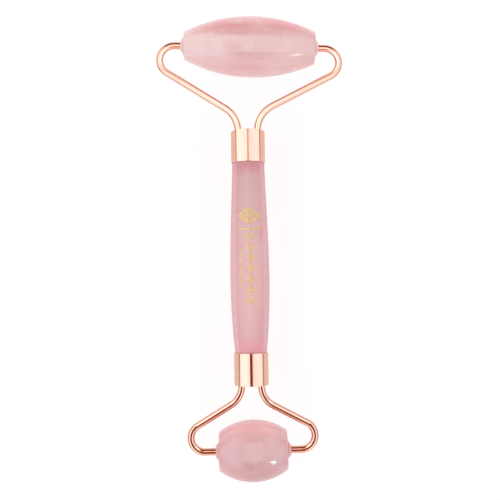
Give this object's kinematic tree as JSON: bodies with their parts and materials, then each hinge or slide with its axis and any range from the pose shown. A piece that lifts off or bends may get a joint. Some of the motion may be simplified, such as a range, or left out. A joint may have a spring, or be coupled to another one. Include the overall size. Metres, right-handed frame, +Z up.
{
  "type": "facial roller",
  "caption": "Double-ended facial roller: eight-sided stone handle, metal ferrules and bent-wire yokes that carry a large and a small barrel-shaped stone on pins.",
  "frame": {"origin": "centre of the bounding box in X and Y, at the height of the surface the roller lies on (lowest point of the small stone)", "axes": "+Y along the handle towards the large stone, +X along the roller axles, +Z up, away from the surface it lies on"},
  "size_m": [0.0581, 0.1436, 0.0187],
  "materials": {
    "rose_quartz_handle": "polished, milky pink",
    "rose_quartz_large": "polished, milky pink with pale veins",
    "rose_quartz_small": "polished, milky pink",
    "rose_gold_ferrule": "polished rose-gold plate",
    "rose_gold_wire": "polished rose-gold plate over steel wire",
    "bushing_plastic": "translucent pinkish white",
    "epoxy": "clear, slightly amber"
  },
  "bodies": {
    "frame": {"handle_stone": "rose_quartz_handle", "large_ferrule": "rose_gold_ferrule", "small_ferrule": "rose_gold_ferrule", "large_yoke": "rose_gold_wire", "small_yoke": "rose_gold_wire", "large_ferrule_epoxy": "epoxy", "small_ferrule_epoxy": "epoxy"},
    "large_roller": {"large_roller_stone": "rose_quartz_large", "large_roller_left_bushing": "bushing_plastic", "large_roller_right_bushing": "bushing_plastic"},
    "small_roller": {"small_roller_stone": "rose_quartz_small", "small_roller_left_bushing": "bushing_plastic", "small_roller_right_bushing": "bushing_plastic"}
  },
  "joints": [
    {"name": "large_roller_spin", "type": "hinge", "parent": "frame", "child": "large_roller", "pos_m": [0.00016, 0.0624, 0.00935], "axis": [0.9994, -0.0349, 0], "continuous": true},
    {"name": "small_roller_spin", "type": "hinge", "parent": "frame", "child": "small_roller", "pos_m": [-0.00051, -0.06243, 0.00935], "axis": [0.9999, 0.0131, 0], "continuous": true}
  ]
}
